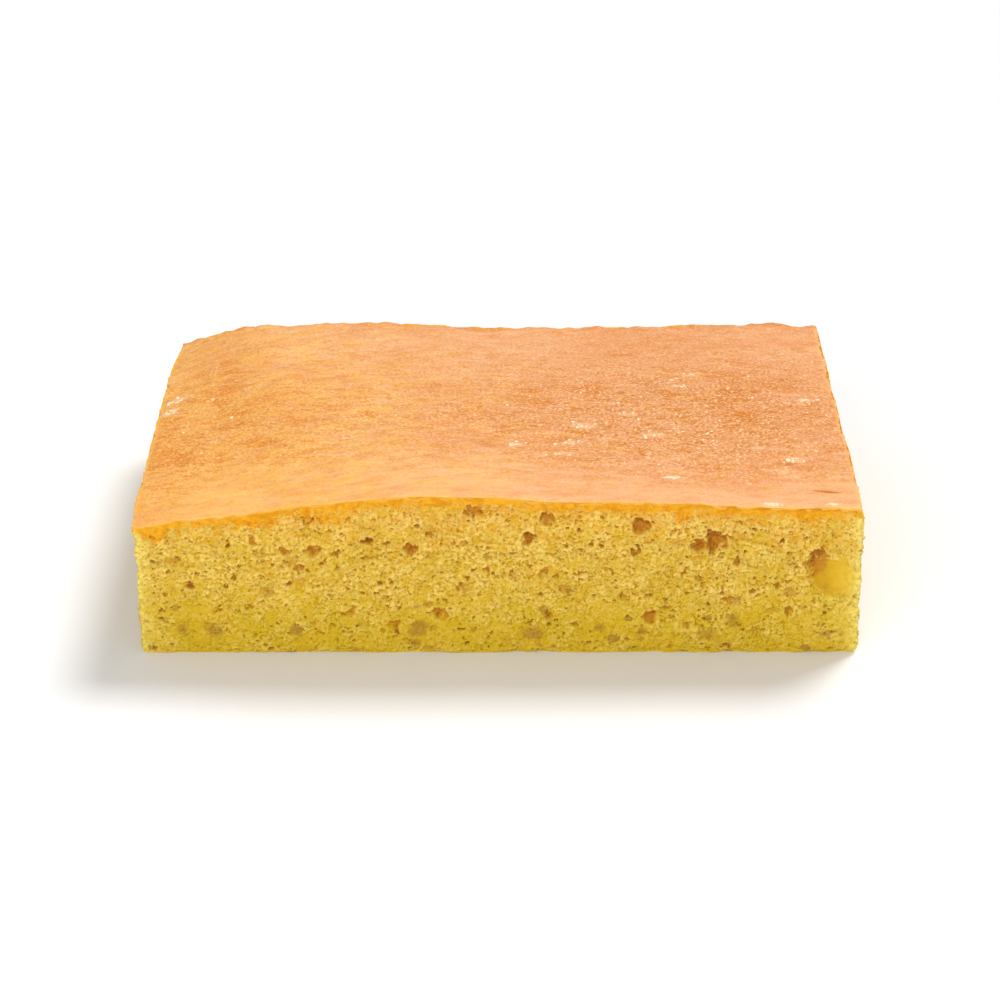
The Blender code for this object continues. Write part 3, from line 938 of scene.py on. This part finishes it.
def crust_material():
    """Baked crust: orange on the left and pinker on the right, the pink partly a painted sheen,
    deeper by its tone, finely pitted and grained, with painted shade in the pores and painted
    highlights on the grain, with a soft oily sheen, a few shiny specks and moist patches whose
    brightness is a painted highlight, painted shade in the slit and a painted glow near the cuts
    and on the rim."""
    g = Graph("crust")
    x, y, _ = g.add("ShaderNodeSeparateXYZ", Vector=g.position).outputs
    hue = g.scaled(g.noise(0.003, stretch=(0.6, 0.8, 1), seed=4, bent=0.4), 2.2, -1.1)
    hue = g.plus(hue, g.scaled(g.noise(0.022), 0.8, -0.4))
    hue = g.plus(hue, g.step(y, 0, 0.055, 0, 0.4))
    # Pinker to the right and the back: partly the crust's own colour, partly a painted sheen.
    pink_and_sheen = g.plus(g.step(x, -0.095, 0.045), hue, clamp=True)
    mottle = g.noise(0.003, 3, stretch=(0.4, 1, 1), bent=0.5)
    wrinkle = g.noise(0.0019, 3, stretch=(0.38, 1, 1), seed=6, bent=0.8)
    speckle = g.noise(0.00062, 3, stretch=(0.85, 0.85, 1), seed=9)
    tone = g.plus(g.number("tone"), g.scaled(mottle, 1.1, -0.55))
    pale = g.blend(pink_and_sheen, (0.88, 0.475, 0.122), (0.83, 0.42, 0.185))
    mid = g.blend(pink_and_sheen, (0.84, 0.395, 0.072), (0.78, 0.335, 0.124))
    deep = g.blend(pink_and_sheen, (0.75, 0.27, 0.024), (0.7, 0.245, 0.04))
    strength = g.scaled(g.number("rough"), 0.76, 0.24)
    colour = g.coats(
        pale,
        (g.step(tone, 0.05, 0.65), mid),
        (g.step(tone, 0.6, 1.25), deep),
        (g.times(g.step(wrinkle, 0.5, 0.36), strength), (0.69, 0.235, 0.014)),
    )
    # Painted shade in fine pores and painted highlights on the grain, in the place of light on the
    # crust's fine relief.
    pore_shade = g.times(g.step(speckle, 0.52, 0.32), strength)
    colour = g.blend(pore_shade, colour, (0.73, 0.56, 0.33), "MULTIPLY")
    grain_highlights = g.times(g.step(speckle, 0.54, 0.7), strength)

    plan = g.add("ShaderNodeMapping", Scale=(1, 0.75, 1), Vector=g.position).outputs[0]
    grains = g.add("ShaderNodeTexVoronoi", voronoi_dimensions="2D", Scale=1 / 0.0013, Vector=plan)
    luck, bulk, _ = g.add("ShaderNodeSeparateColor", Color=grains.outputs["Color"]).outputs
    # Shiny specks, painted as highlights.
    odds = g.scaled(g.number("glint"), 0.7, g.step(g.number("rough"), 0.45, 1, 0, 0.018))
    chosen = g.step(g.plus(luck, odds), 0.998, 1.003)
    size = g.scaled(bulk, 0.34, 0.18)
    size = g.scaled(g.number("glint"), 0.14, size)
    away = g.scaled(speckle, 0.5, g.plus(grains.outputs["Distance"], -0.25))
    spot = g.scaled(away, -1, size)
    spot = g.times(g.step(spot, 0, 0.12), chosen)
    shine = g.step(g.plus(g.number("shine"), g.scaled(speckle, 1.6, -0.8)), 0.3, 0.95)
    spot = g.sums("MAXIMUM", spot, shine)
    rim = g.plus(g.number("rim"), g.scaled(mottle, 1.2, -0.6))
    colour = g.coats(
        colour,
        # Painted highlights on the grain.
        (grain_highlights, (0.96, 0.6, 0.31)),
        # A painted sheen over the glint clusters, and painted highlights on the specks and moist
        # patches.
        (g.times(g.step(g.number("glint"), 0.15, 0.95), 0.45), (0.93, 0.6, 0.34)),
        (g.times(spot, 0.92), (1, 0.8, 0.5)),
        # Painted shade in the slit and the nick.
        (g.step(g.number("slit_shade"), 0.1, 0.75), (0.52, 0.165, 0.01)),
        # A painted glow near the cuts and on the rolled rim.
        (g.step(g.number("near"), 0, 0.4, 0.5, 0), (0.92, 0.48, 0.1)),
        (g.step(rim, 0.3, 0.8), (0.9, 0.46, 0.05)),
    )
    g.put({
        "Base Color": colour,
        "Roughness": g.scaled(spot, -0.2, 0.5),
        "Specular IOR Level": 0.25,
        "Subsurface Weight": 0.15,
        "Subsurface Radius": (1, 0.5, 0.2),
        "Subsurface Scale": 0.0008,
    })
    height = g.scaled(spot, 0.4, g.noise(0.0006, 4, stretch=(0.7, 1, 1), seed=2))
    g.bump(g.times(height, g.scaled(g.number("rough"), 1, 0.35)), 0.00032)
    return g.material


crust = make_crust()
crust.data.materials.append(crust_material())
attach(crust, "root")
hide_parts("cornbread")

# ========================
# The underside: the skin of the same crumb that baked against the greased pan. It is flat, evenly
# browned and slightly pitted, and duller than the crust.

BASE_CELL = 0.001
BASE_INSET = 0.0015  # it ends this far inside the cuts
BASE_CLEAR = 0.00002  # and lies this far over the floor
PIT_DEPTH = 0.00035


def make_underside():
    """The bottom skin: flat on the ground, with shallow pits pressed up into it, its edge rolled
    up behind the foot of the cuts."""
    x, y, length, heading = plan_of_skin(BASE_CELL, BASE_CELL)
    out, up = roll_over(length)
    inset, _ = skin_inset(x, y, 2, 0.0, BASE_INSET)
    flat = on_plan(x, y)
    pits = smooth(0.35, 0.8, cloud(torn(flat, 0.002, 0.0006, 95), 0.003, 91))
    pits = pits + 0.5 * smooth(0.3, 0.8, cloud(flat, 0.0018, 92))
    place = np.empty(x.shape + (3,))
    place[..., :2] = flat[..., :2] - inset + heading * out[..., None]
    place[..., 2] = BASE_CLEAR + up + PIT_DEPTH * pits
    values = {
        "tone": np.clip(0.5 + 0.3 * cloud(flat, 0.03, 93) + 0.2 * cloud(flat, 0.008, 94), 0, 1),
        "pit": np.clip(pits, 0, 1),
    }
    return skin_piece("underside", place, values, lift=0.006, middle=0.008, flip=True)


def underside_material():
    """Pan-baked skin: golden brown, mottled, drier and duller than the crust."""
    g = Graph("underside")
    tone = g.plus(g.number("tone"), g.scaled(g.noise(0.0012, 5), 1.2, -0.6))
    colour = g.blend(g.step(tone, 0.1, 0.9), (0.82, 0.46, 0.1), (0.55, 0.22, 0.035))
    colour = g.blend(g.times(g.number("pit"), 0.4), colour, (0.84, 0.55, 0.14))
    g.put({
        "Base Color": colour,
        "Roughness": 0.62,
        "Subsurface Weight": 0.15,
        "Subsurface Scale": 0.001,
    })
    g.bump(g.noise(0.0007, 3, seed=4), 0.00012, 0.8)
    return g.material


underside = make_underside()
underside.data.materials.append(underside_material())
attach(underside, "root")
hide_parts("cornbread")

# ========================
# The studio: a plain pale floor, a white surround, one large soft light overhead and a fill from
# the front, and the camera, which looks down on the front cut at 27 degrees.

VIEW_PITCH = math.radians(27)
VIEW_DISTANCE = 0.85
VIEW_AIM = (0.0006, 0.0, 0.0128)
LENS = 108.3

FLOOR = 3.0  # half its width
floor_mesh = bpy.data.meshes.new("floor")
corners = [(x * FLOOR, y * FLOOR, 0) for x, y in ((-1, -1), (1, -1), (1, 1), (-1, 1))]
floor_mesh.from_pydata(corners, [], [(0, 1, 2, 3)])
floor = new_object("floor", floor_mesh)
floor_paint = Graph("floor")
floor_paint.put({"Base Color": (0.86, 0.86, 0.86, 1), "Roughness": 0.9})
floor_mesh.materials.append(floor_paint.material)

world = bpy.data.worlds.new("studio")
world.use_nodes = True
surround = world.node_tree.nodes["Background"]
surround.inputs["Color"].default_value = (1, 1, 1, 1)
surround.inputs["Strength"].default_value = 0.5
scene.world = world


def lamp(name, kind, energy, place, aim):
    """A lamp that stands at a place, turned to face the aim."""
    light = bpy.data.lights.new(name, kind)
    light.energy = energy
    holder = new_object(name, light)
    holder.location = place
    holder.rotation_euler = (Vector(aim) - Vector(place)).to_track_quat("-Z", "Y").to_euler()
    return light


lamp("key", "SUN", 2.3, (0.45, 0.6, 1.0), (0, 0, 0)).angle = math.radians(24)
lamp("fill", "AREA", 8.0, (-0.3, -1.2, 0.7), (0, 0, 0.02)).size = 0.9

camera_data = bpy.data.cameras.new("camera")
camera_data.lens = LENS
camera_data.clip_start = 0.01
camera = new_object("camera", camera_data)
camera.location = (
    VIEW_AIM[0],
    VIEW_AIM[1] - VIEW_DISTANCE * math.cos(VIEW_PITCH),
    VIEW_AIM[2] + VIEW_DISTANCE * math.sin(VIEW_PITCH),
)
camera.rotation_euler = (math.pi / 2 - VIEW_PITCH, 0, 0)
scene.camera = camera
scene.view_settings.view_transform = "Standard"
